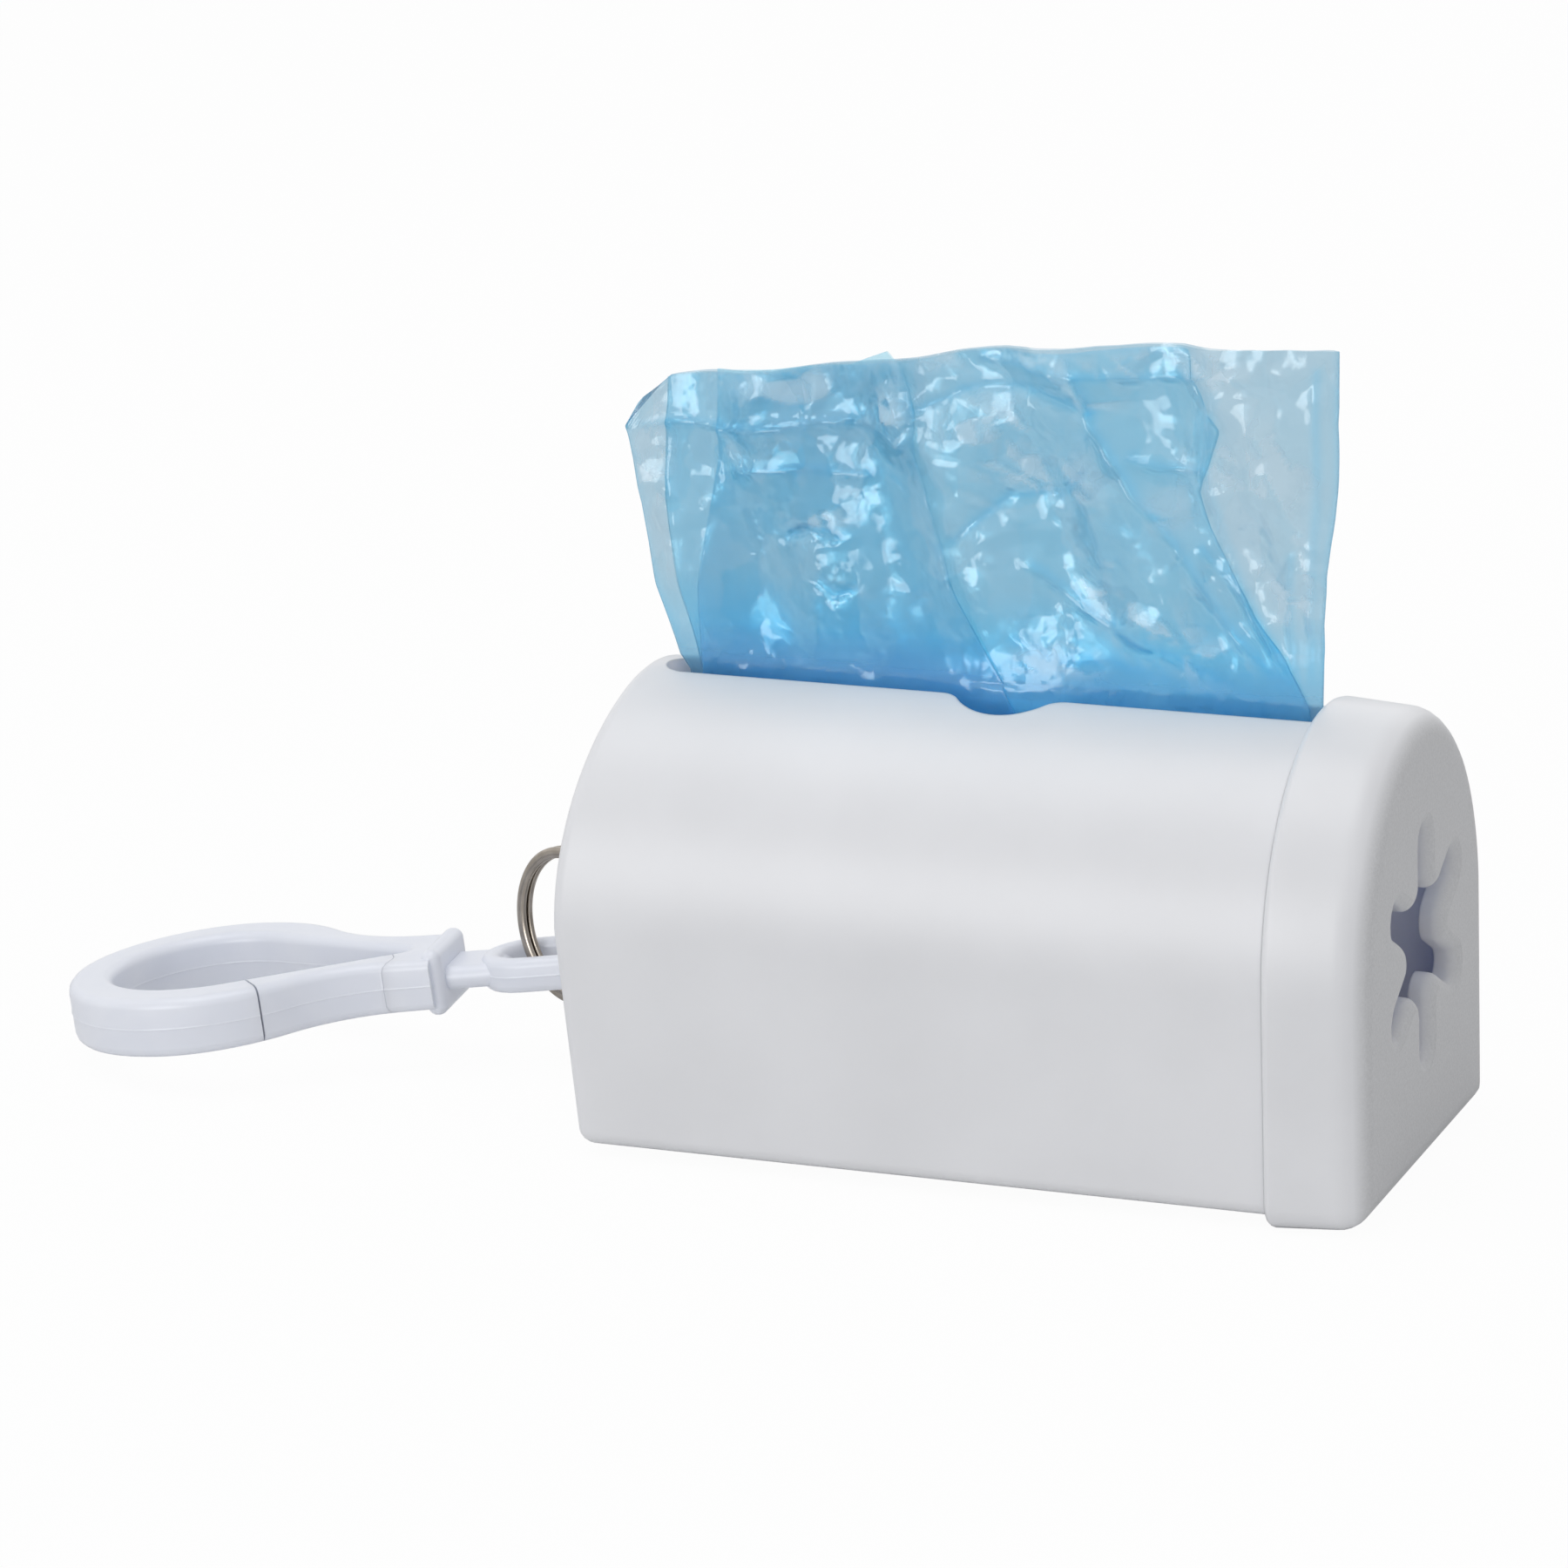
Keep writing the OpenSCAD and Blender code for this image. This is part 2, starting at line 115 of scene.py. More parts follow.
def pieceFrom(bm, name, material, body):
    mesh = bpy.data.meshes.new(name)
    bm.to_mesh(mesh)
    bm.free()
    for face in mesh.polygons:
        face.use_smooth = True
    piece = bpy.data.objects.new(name, mesh)
    bpy.context.scene.collection.objects.link(piece)
    mesh.materials.append(material)
    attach(piece, body)
    return piece


# A welded copy of a CAD node whose flat faces are whole again, so that it can be smooth shaded
def mergedCopy(node, name, material, body, sharpAngle=40, flatAngle=0.6):
    bm = bmesh.new()
    bm.from_mesh(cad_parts[node].data)
    bmesh.ops.remove_doubles(bm, verts=bm.verts, dist=0.002 * mm)
    bmesh.ops.dissolve_degenerate(bm, edges=bm.edges, dist=0.001 * mm)
    bmesh.ops.dissolve_limit(bm, angle_limit=math.radians(flatAngle), verts=bm.verts, edges=bm.edges)
    for edge in bm.edges:
        if len(edge.link_faces) == 2:
            edge.smooth = edge.calc_face_angle(0) < math.radians(sharpAngle)
    piece = pieceFrom(bm, name, material, body)
    weight = piece.modifiers.new("weightedNormals", "WEIGHTED_NORMAL")
    weight.keep_sharp = True
    weight.weight = 90
    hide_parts(node)
    return piece


cameraSet = {"lens": 163.008, "place": (238.897, -639.016, 248.040),
             "turn": 22.45, "rise": 17.22, "roll": -2.07}


def makeCamera(s):
    a, e, r = (math.radians(s[k]) for k in ("turn", "rise", "roll"))
    back = Vector((math.sin(a) * math.cos(e), -math.cos(a) * math.cos(e), math.sin(e)))
    right = Vector((math.cos(a), math.sin(a), 0))
    up = back.cross(right)
    rightRolled = math.cos(r) * right + math.sin(r) * up
    upRolled = -math.sin(r) * right + math.cos(r) * up
    data = bpy.data.cameras.new("camera")
    data.lens = s["lens"]
    data.sensor_width = 36
    data.clip_start = 0.01
    data.clip_end = 20
    camera = bpy.data.objects.new("camera", data)
    bpy.context.scene.collection.objects.link(camera)
    rotation = Matrix((rightRolled, upRolled, back)).transposed()
    camera.matrix_world = Matrix.Translation(Vector(s["place"]) * mm) @ rotation.to_4x4()
    bpy.context.scene.camera = camera


# Lamps: place and target in metres, width and height of the softbox, power in watts. The glint softbox shows
# only in what is glossy. The two small lamps stand for the light that the thin white walls let into the shell.
studioSet = {
    "world": (0.56, 0.56, 0.565),
    "floorZ": -1.19, "floorTone": (0.78, 0.78, 0.78, 1), "floorGlow": 0.96,
    "lamps": [
        {"name": "topSoftbox", "place": (-0.15, -0.15, 0.80), "target": (0, 0, 0.03),
         "size": (0.6, 0.5), "power": 2.0},
        {"name": "frontSoftbox", "place": (-0.33, -0.86, 0.20), "target": (0, 0, 0.04),
         "size": (0.5, 0.5), "power": 1.5},
        {"name": "backSoftbox", "place": (0.05, 0.75, 0.45), "target": (0, 0, 0.05),
         "size": (0.6, 0.4), "power": 0.5},
        {"name": "wallGlowRoll", "place": (0, 0.004, 0.0368), "target": (0, 0, 0.06),
         "size": (0.056, 0.012), "power": 0.006, "unseen": True},
        {"name": "wallGlowCap", "place": (0.0385, 0, 0.0183), "target": (0, 0, 0.0183),
         "size": (0.022, 0.022), "power": 0.0010, "unseen": True},
        {"name": "glintSoftbox", "place": (-0.30, -0.82, 0.16), "target": (0, 0, 0.06),
         "size": (0.56, 0.46), "power": 1.5, "glossOnly": True},
    ],
}


def makeLamp(s):
    data = bpy.data.lights.new(s["name"], "AREA")
    data.shape = "RECTANGLE"
    data.size, data.size_y = s["size"]
    data.energy = s["power"]
    lamp = bpy.data.objects.new(s["name"], data)
    bpy.context.scene.collection.objects.link(lamp)
    lamp.visible_diffuse = not s.get("glossOnly", False)
    if s.get("unseen", False):
        lamp.visible_camera = lamp.visible_glossy = lamp.visible_transmission = False
    direction = Vector(s["target"]) - Vector(s["place"])
    turn = direction.to_track_quat("-Z", "Y").to_matrix().to_4x4()
    lamp.matrix_world = Matrix.Translation(s["place"]) @ turn
    return lamp


def makeWorld(colour):
    world = bpy.data.worlds.new("studio")
    bpy.context.scene.world = world
    world.use_nodes = True
    tree = world.node_tree
    tree.nodes.clear()
    path = addNode(tree, "ShaderNodeLightPath")
    seen = path.outputs["Is Camera Ray"]
    for ray in ("Is Glossy Ray", "Is Transmission Ray"):
        seen = mathOf(tree, "MAXIMUM", seen, path.outputs[ray])
    lit = addNode(tree, "ShaderNodeBackground", {"Color": colour + (1,), "Strength": 1.0})
    white = addNode(tree, "ShaderNodeBackground", {"Color": (1, 1, 1, 1), "Strength": 1.0})
    addNode(tree, "ShaderNodeOutputWorld", {}, Surface=mixShaders(tree, seen, lit, white).outputs[0])


# Pale paper floor at the height of the cap's rim, where the dispenser stands; it keeps a faint shadow
def makeFloor(height, tone, ownGlow):
    bm = bmesh.new()
    bmesh.ops.create_grid(bm, x_segments=2, y_segments=2, size=2.0)
    for v in bm.verts:
        v.co.z = height
    material, tree = newMaterial("paperFloor")
    path = addNode(tree, "ShaderNodeLightPath")
    paper = addNode(tree, "ShaderNodeBsdfPrincipled", {"Base Color": tone, "Roughness": 0.9})
    glow = addNode(tree, "ShaderNodeEmission", {"Color": (1, 1, 1, 1), "Strength": 1.0})
    pale = mixShaders(tree, ownGlow, paper, glow)
    finishMaterial(tree, mixShaders(tree, path.outputs["Is Camera Ray"], paper, pale))
    mesh = bpy.data.meshes.new("floor")
    bm.to_mesh(mesh)
    bm.free()
    mesh.materials.append(material)
    floor = bpy.data.objects.new("floor", mesh)
    bpy.context.scene.collection.objects.link(floor)


bpy.context.scene.view_settings.view_transform = "Standard"
makeCamera(cameraSet)
makeWorld(studioSet["world"])
for lampSet in studioSet["lamps"]:
    makeLamp(lampSet)
makeFloor(studioSet["floorZ"] * mm, studioSet["floorTone"], studioSet["floorGlow"])
print("camera and studio ready")


# Moulded polypropylene: a soft wide sheen, edges that catch the light, a very faint orange peel
def mouldedPolypropylene():
    material, tree = newMaterial("mouldedPolypropylene")
    place = addNode(tree, "ShaderNodeTexCoord").outputs["Object"]
    peel = addNode(tree, "ShaderNodeTexNoise", {"Scale": 420.0, "Detail": 2.0, "Roughness": 0.5},
                   Vector=place)
    mottle = addNode(tree, "ShaderNodeTexNoise", {"Scale": 45.0, "Detail": 3.0}, Vector=place)
    tone = twoTones(tree, mottle.outputs["Fac"], 0.35, 0.65, "E0E1E4", "E5E6E9")
    rough = addNode(tree, "ShaderNodeMapRange", {"To Min": 0.32, "To Max": 0.40},
                    Value=mottle.outputs["Fac"])
    edge = addNode(tree, "ShaderNodeBevel", {"samples": 4, "Radius": 0.0004})
    bump = addNode(tree, "ShaderNodeBump", {"Strength": 0.04, "Distance": 0.0002},
                   Height=peel.outputs["Fac"], Normal=edge.outputs["Normal"])
    shader = addNode(tree, "ShaderNodeBsdfPrincipled",
                     {"IOR": 1.49, "Subsurface Weight": 0.10, "Subsurface Scale": 0.002,
                      "Subsurface Radius": (1.0, 1.0, 1.0)},
                     Base_Color=tone, Roughness=rough.outputs["Result"], Normal=bump.outputs["Normal"])
    finishMaterial(tree, shader)
    return material


# The same plastic; the cap's flat face was moulded against a finely blasted tool, so it is matt. Its tone is
# also painted darker, as painted shade for that face, which turns away from the lamps
def blastedPolypropylene():
    material, tree = newMaterial("blastedPolypropylene")
    place = addNode(tree, "ShaderNodeTexCoord").outputs["Object"]
    split = addNode(tree, "ShaderNodeSeparateXYZ", {}, Vector=place)
    face = addNode(tree, "ShaderNodeMapRange", {"From Min": 0.0416, "From Max": 0.0428},
                   Value=split.outputs["X"]).outputs["Result"]
    grain = addNode(tree, "ShaderNodeTexNoise", {"Scale": 3600.0, "Detail": 2.0, "Roughness": 0.7},
                    Vector=place)
    mottle = addNode(tree, "ShaderNodeTexNoise", {"Scale": 60.0, "Detail": 3.0}, Vector=place)
    rough = addNode(tree, "ShaderNodeMapRange", {"To Min": 0.34, "To Max": 0.6}, Value=face)
    side = twoTones(tree, mottle.outputs["Fac"], 0.35, 0.65, "E0E1E4", "E5E6E9")
    # painted shade: the face's grain tones are darker than the side's, standing for the shade on the face
    faceGrainAndPaintedShade = twoTones(tree, grain.outputs["Fac"], 0.3, 0.7, "C6C7C9", "D2D3D5")
    tone = addNode(tree, "ShaderNodeMix", {"data_type": "RGBA"})
    tree.links.new(face, tone.inputs["Factor"])
    tree.links.new(side, tone.inputs[6])
    tree.links.new(faceGrainAndPaintedShade, tone.inputs[7])
    edge = addNode(tree, "ShaderNodeBevel", {"samples": 4, "Radius": 0.0003})
    bump = addNode(tree, "ShaderNodeBump", {"Strength": 0.3, "Distance": 0.00005},
                   Height=product(tree, grain.outputs["Fac"], face), Normal=edge.outputs["Normal"])
    shader = addNode(tree, "ShaderNodeBsdfPrincipled",
                     {"IOR": 1.49, "Subsurface Weight": 0.10, "Subsurface Scale": 0.002,
                      "Subsurface Radius": (1.0, 1.0, 1.0)},
                     Roughness=rough.outputs["Result"], Normal=bump.outputs["Normal"])
    tree.links.new(tone.outputs[2], shader.inputs["Base Color"])
    finishMaterial(tree, shader)
    return material


# Pale bluish acetal: slicker than the housing, softly translucent, with very faint flow marks
def mouldedAcetal():
    material, tree = newMaterial("mouldedAcetal")
    place = addNode(tree, "ShaderNodeTexCoord").outputs["Object"]
    flow = addNode(tree, "ShaderNodeTexNoise", {"Scale": 90.0, "Detail": 2.0, "Distortion": 1.0},
                   Vector=place)
    tone = twoTones(tree, flow.outputs["Fac"], 0.3, 0.7, "E2E6F0", "E8EBF3")
    rough = addNode(tree, "ShaderNodeMapRange", {"To Min": 0.26, "To Max": 0.34}, Value=flow.outputs["Fac"])
    shader = addNode(tree, "ShaderNodeBsdfPrincipled",
                     {"IOR": 1.48, "Subsurface Weight": 0.2, "Subsurface Scale": 0.002,
                      "Subsurface Radius": (1.0, 1.0, 1.0)},
                     Base_Color=tone, Roughness=rough.outputs["Result"])
    finishMaterial(tree, shader)
    return material


# Nickel-plated spring steel: a warm grey with fine wear, mirror-like along the rounded wire
def nickelPlatedSteel():
    material, tree = newMaterial("nickelPlatedSteel")
    place = addNode(tree, "ShaderNodeTexCoord").outputs["Object"]
    wear = addNode(tree, "ShaderNodeTexNoise", {"Scale": 500.0, "Detail": 4.0}, Vector=place)
    tone = twoTones(tree, wear.outputs["Fac"], 0.3, 0.7, "9C948A", "B0A89E")
    rough = addNode(tree, "ShaderNodeMapRange", {"To Min": 0.20, "To Max": 0.27}, Value=wear.outputs["Fac"])
    shader = addNode(tree, "ShaderNodeBsdfPrincipled", {"Metallic": 1.0},
                     Base_Color=tone, Roughness=rough.outputs["Result"])
    finishMaterial(tree, shader)
    return material


# What every ply of the drawn bag's film has: heights in metres, scales in cells per metre, leans as slopes
filmSet = {
    "index": 1.51,
    "gatheredFrom": 0.056, "gatheredTo": 0.046,     # the film deepens as it narrows towards the slot
    "slotFrom": 0.0505, "slotTo": 0.0465,           # and is hazier where it rubs through the slot
    "slotHaze": 0.36,
    "cloudScale": 75.0,
    "warpScale": 230.0, "warpBy": 0.004,
    "drawnTurn": 0.7, "drawnOut": 0.45,             # facets run long along the pull
    "facets": [(300.0, 0.22), (700.0, 0.18)],       # scale and lean: about 3 mm and 1.5 mm across
    "crumpleScale": 62.0, "crumpleFrom": 0.44, "crumpleTo": 0.60, "smoothShare": 0.12,
    "bumpStrength": 0.9,
    "wholeScale": 300.0, "wholeNoise": 1.5, "wholeFrom": 1.15, "wholeTo": 1.75,
    "litShare": 0.22,
    "glintRoughness": 0.10, "glintMost": 0.18,
    # the white of the painted highlight
    "paintedHighlightWhite": (0.93, 0.97, 1.0, 1),
}


# Bent, long cells in which every cell leans its own way, as the facets of crumpled film do
def facetBump(tree, s, drawn, crumpled):
    heights = []
    for scale, lean in s["facets"]:
        cells = addNode(tree, "ShaderNodeTexVoronoi", {"Scale": scale}, Vector=drawn)
        offset = addNode(tree, "ShaderNodeVectorMath", {"operation": "SUBTRACT"})
        tree.links.new(drawn, offset.inputs[0])
        tree.links.new(cells.outputs["Position"], offset.inputs[1])
        leaning = addNode(tree, "ShaderNodeVectorMath", {"operation": "MULTIPLY_ADD"})
        tree.links.new(cells.outputs["Color"], leaning.inputs[0])
        leaning.inputs[1].default_value = (2 * lean, 2 * lean, 2 * lean)
        leaning.inputs[2].default_value = (-lean, -lean, -lean)
        tilted = addNode(tree, "ShaderNodeVectorMath", {"operation": "DOT_PRODUCT"})
        tree.links.new(offset.outputs[0], tilted.inputs[0])
        tree.links.new(leaning.outputs[0], tilted.inputs[1])
        heights.append(tilted.outputs["Value"])
    bump = addNode(tree, "ShaderNodeBump", {"Strength": s["bumpStrength"], "Distance": 1.0},
                   Height=product(tree, sumOf(tree, heights[0], heights[1]), crumpled))
    return bump.outputs["Normal"]


# Painted highlight: how much flat white is painted over the film where facets would mirror the softbox: long
# random cells that catch the light whole, and the facets of the mesh that bagTube marked as lit
def facetPaintedHighlight(tree, s, drawn, where, gathered, mostPaintedHighlight):
    whole = addNode(tree, "ShaderNodeTexVoronoi", {"Scale": s["wholeScale"]}, Vector=drawn)
    ownShare = addNode(tree, "ShaderNodeSeparateXYZ", {}, Vector=whole.outputs["Color"]).outputs["X"]
    chosen = sumOf(tree, ownShare, product(tree, where, s["wholeNoise"]))
    paintedHighlightShare = addNode(tree, "ShaderNodeMapRange",
                    {"From Min": s["wholeFrom"], "From Max": s["wholeTo"], "To Max": mostPaintedHighlight},
                    Value=chosen)
    free = mathOf(tree, "SUBTRACT", 1.0, gathered, clamp=True)
    lit = addNode(tree, "ShaderNodeAttribute", {"attribute_name": "lit"}).outputs["Fac"]
    return sumOf(tree, product(tree, paintedHighlightShare.outputs["Result"], free), product(tree, lit, s["litShare"]))


# Blown blue polyethylene, 15 micrometres thick: it tints what is behind it, with a little haze, is deeper where
# it is gathered into the slot or doubled at a fold, and its crumpled facets glint, some with a painted white
# highlight
def blownPolyethylene(name, ply, s):
    material, tree = newMaterial(name)
    place = addNode(tree, "ShaderNodeTexCoord").outputs["Object"]
    height = addNode(tree, "ShaderNodeSeparateXYZ", {}, Vector=place).outputs["Z"]
    gathered = addNode(tree, "ShaderNodeMapRange",
                       {"From Min": s["gatheredFrom"], "From Max": s["gatheredTo"]},
                       Value=height).outputs["Result"]
    inSlot = addNode(tree, "ShaderNodeMapRange",
                     {"From Min": s["slotFrom"], "From Max": s["slotTo"],
                      "To Min": ply["hazeShare"], "To Max": s["slotHaze"]}, Value=height).outputs["Result"]
    cloud = addNode(tree, "ShaderNodeTexNoise", {"Scale": s["cloudScale"], "Detail": 4.0, "Roughness": 0.6},
                    Vector=place)
    warp = addNode(tree, "ShaderNodeTexNoise", {"Scale": s["warpScale"], "Detail": 2.0}, Vector=place)
    bent = addNode(tree, "ShaderNodeVectorMath", {"operation": "MULTIPLY_ADD"})
    tree.links.new(warp.outputs["Color"], bent.inputs[0])
    bent.inputs[1].default_value = (s["warpBy"], s["warpBy"], s["warpBy"])
    tree.links.new(place, bent.inputs[2])
    drawn = addNode(tree, "ShaderNodeMapping",
                    {"Rotation": (0.0, s["drawnTurn"], 0.0), "Scale": (1.0, 1.0, s["drawnOut"])},
                    Vector=bent.outputs[0]).outputs[0]
    where = addNode(tree, "ShaderNodeTexNoise", {"Scale": s["crumpleScale"], "Detail": 3.0},
                    Vector=place).outputs["Fac"]
    crumpled = addNode(tree, "ShaderNodeMapRange",
                       {"From Min": s["crumpleFrom"], "From Max": s["crumpleTo"],
                        "To Min": s["smoothShare"]},
                       Value=where).outputs["Result"]
    normal = facetBump(tree, s, drawn, crumpled)
    doubled = addNode(tree, "ShaderNodeAttribute", {"attribute_name": "doubled"}).outputs["Fac"]
    tint = addNode(tree, "ShaderNodeMix", {"data_type": "RGBA", "clamp_factor": True})
    tree.links.new(sumOf(tree, gathered, doubled), tint.inputs["Factor"])
    tint.inputs[6].default_value = ply["clear"] + (1,)
    tint.inputs[7].default_value = ply["deep"] + (1,)
    clear = addNode(tree, "ShaderNodeBsdfTransparent", {}, Color=tint.outputs[2])
    tone = twoTones(tree, cloud.outputs["Fac"], 0.3, 0.7, ply["haze"][0], ply["haze"][1])
    front = addNode(tree, "ShaderNodeBsdfDiffuse", {}, Color=tone, Normal=normal)
    through = addNode(tree, "ShaderNodeBsdfTranslucent", {}, Color=tone, Normal=normal)
    film = mixShaders(tree, inSlot, clear, mixShaders(tree, 0.5, front, through))
    glint = addNode(tree, "ShaderNodeBsdfGlossy", {"Color": (1, 1, 1, 1), "Roughness": s["glintRoughness"]},
                    Normal=normal)
    mirror = addNode(tree, "ShaderNodeFresnel", {"IOR": s["index"]}, Normal=normal)
    film = mixShaders(tree, mathOf(tree, "MINIMUM", mirror.outputs[0], s["glintMost"]), film, glint)
    # painted highlight: flat white mixed over the film, standing for the softbox seen in facets that face it
    paintedHighlightWhite = addNode(tree, "ShaderNodeBsdfDiffuse", {"Color": s["paintedHighlightWhite"]})
    pale = facetPaintedHighlight(tree, s, drawn, where, gathered, ply["paintedHighlightShare"])
    finishMaterial(tree, mixShaders(tree, pale, film, paintedHighlightWhite))
    return material


# The roll: the same film many layers deep, a dark indigo in fine rings on its ends
def woundFilm():
    material, tree = newMaterial("woundFilm")
    place = addNode(tree, "ShaderNodeTexCoord").outputs["Object"]
    centred = addNode(tree, "ShaderNodeMapping", {"Location": (0, 0, -18.3 * mm), "Scale": (0, 1, 1)},
                      Vector=place)
    radius = addNode(tree, "ShaderNodeVectorMath", {"operation": "LENGTH"})
    tree.links.new(centred.outputs["Vector"], radius.inputs[0])
    rings = addNode(tree, "ShaderNodeTexNoise", {"noise_dimensions": "1D", "Scale": 3200.0, "Detail": 3.0},
                    W=radius.outputs["Value"])
    tone = twoTones(tree, rings.outputs["Fac"], 0.35, 0.65, "4058A8", "5E76C4")
    bump = addNode(tree, "ShaderNodeBump", {"Strength": 0.4, "Distance": 0.0001},
                   Height=rings.outputs["Fac"])
    shader = addNode(tree, "ShaderNodeBsdfPrincipled", {"IOR": 1.51, "Roughness": 0.4},
                     Base_Color=tone, Normal=bump.outputs["Normal"])
    finishMaterial(tree, shader)
    return material


# Spirally wound grey card: soft, fibrous, no shine
def greyCard():
    material, tree = newMaterial("greyCard")
    place = addNode(tree, "ShaderNodeTexCoord").outputs["Object"]
    fibre = addNode(tree, "ShaderNodeTexNoise", {"Scale": 1500.0, "Detail": 5.0, "Roughness": 0.7},
                    Vector=place)
    tone = twoTones(tree, fibre.outputs["Fac"], 0.3, 0.7, "8C7B62", "B5A486")
    bump = addNode(tree, "ShaderNodeBump", {"Strength": 0.5, "Distance": 0.0001},
                   Height=fibre.outputs["Fac"])
    shader = addNode(tree, "ShaderNodeBsdfPrincipled", {"Roughness": 0.9},
                     Base_Color=tone, Normal=bump.outputs["Normal"])
    finishMaterial(tree, shader)
    return material


housingPlastic = mouldedPolypropylene()
capPlastic = blastedPolypropylene()
hookPlastic = mouldedAcetal()
ringMetal = nickelPlatedSteel()
card = greyCard()
rollFilm = woundFilm()
# One ply: the tint of what it lets through, clear and where gathered or doubled, and the haze on top of it
bagFilm = blownPolyethylene("blownPolyethylene", {
    "clear": (0.775, 0.94, 0.99), "deep": (0.60, 0.90, 0.99), "haze": ("8ACFF4", "B8E3F8"),
    "hazeShare": 0.09, "paintedHighlightShare": 0.08}, filmSet)
# the back fold: a greyer copy of the same film, its tint and haze painted grey for the grey surroundings it
# reflects
filmPaintedReflection = blownPolyethylene("blownPolyethylenePaintedReflection", {
    "clear": (0.66, 0.80, 0.87), "deep": (0.50, 0.78, 0.92), "haze": ("94BAD2", "BED2DF"),
    "hazeShare": 0.14, "paintedHighlightShare": 0.12}, filmSet)
print("materials ready")

housing = mergedCopy("housing", "housingShell", housingPlastic, "shell")
cap = mergedCopy("end_cap", "endCap", capPlastic, "cap")
hook = mergedCopy("snap_hook", "snapHook", hookPlastic, "hook")
gate = mergedCopy("hook_gate", "hookGate", hookPlastic, "gate")
core = mergedCopy("roll_core", "rollCore", card, "roll")
roll = mergedCopy("bag_roll", "bagRoll", rollFilm, "roll")

# Split ring: two turns of rounded wire on the CAD ring's own centre line, in millimetres and degrees
ringSet = {"centre": (-51.11026, 3.18981, 15.17), "radius": 7.8, "turn": 28.0, "tilt": 2.5,
           "wireWidth": 1.2, "wireThick": 0.7, "gap": 0.12, "firstAngle": 38.0, "lastAngle": 682.0,
           "startAt": 30.0, "changeFrom": 330.0, "changeOver": 60.0, "steps": 300, "sides": 20,
           "squareness": 2.6}


def splitRing(s, material):
    bm = bmesh.new()
    rings = []
    for i in range(s["steps"] + 1):
        turned = s["firstAngle"] + (s["lastAngle"] - s["firstAngle"]) * i / s["steps"]
        t = min(max((turned - s["changeFrom"]) / s["changeOver"], 0), 1)
        side = (t * t * (3 - 2 * t) - 0.5) * (s["wireThick"] + s["gap"])
        a = math.radians(turned + s["startAt"])
        # the cut ends are filed round over their last few steps
        fromEnd = min(i, s["steps"] - i)
        taper = math.sqrt(1 - (1 - min(fromEnd + 0.4, 3) / 3) ** 2)
        ring = []
        for k in range(s["sides"]):
            b = 2 * math.pi * k / s["sides"]
            power = 2 / s["squareness"]
            w = math.copysign(abs(math.cos(b)) ** power, math.cos(b)) * s["wireWidth"] / 2 * taper
            h = math.copysign(abs(math.sin(b)) ** power, math.sin(b)) * s["wireThick"] / 2 * taper
            r = s["radius"] + w
            ring.append(bm.verts.new((r * math.cos(a), r * math.sin(a), side + h)))
        rings.append(ring)
    for first, second in zip(rings[:-1], rings[1:]):
        for k in range(s["sides"]):
            n = (k + 1) % s["sides"]
            bm.faces.new((first[k], first[n], second[n], second[k]))
    bm.faces.new(rings[0])
    bm.faces.new(rings[-1][::-1])
    bmesh.ops.recalc_face_normals(bm, faces=bm.faces)
    place = Matrix.Translation(s["centre"]) @ Matrix.Rotation(math.radians(-s["turn"]), 4, "Z") \
        @ Matrix.Rotation(math.radians(90 - s["tilt"]), 4, "X")
    bm.transform(Matrix.Scale(mm, 4) @ place)
    piece = pieceFrom(bm, "splitRing", material, "ring")
    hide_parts("split_ring")
    return piece


ring = splitRing(ringSet, ringMetal)
print("rigid pieces ready")

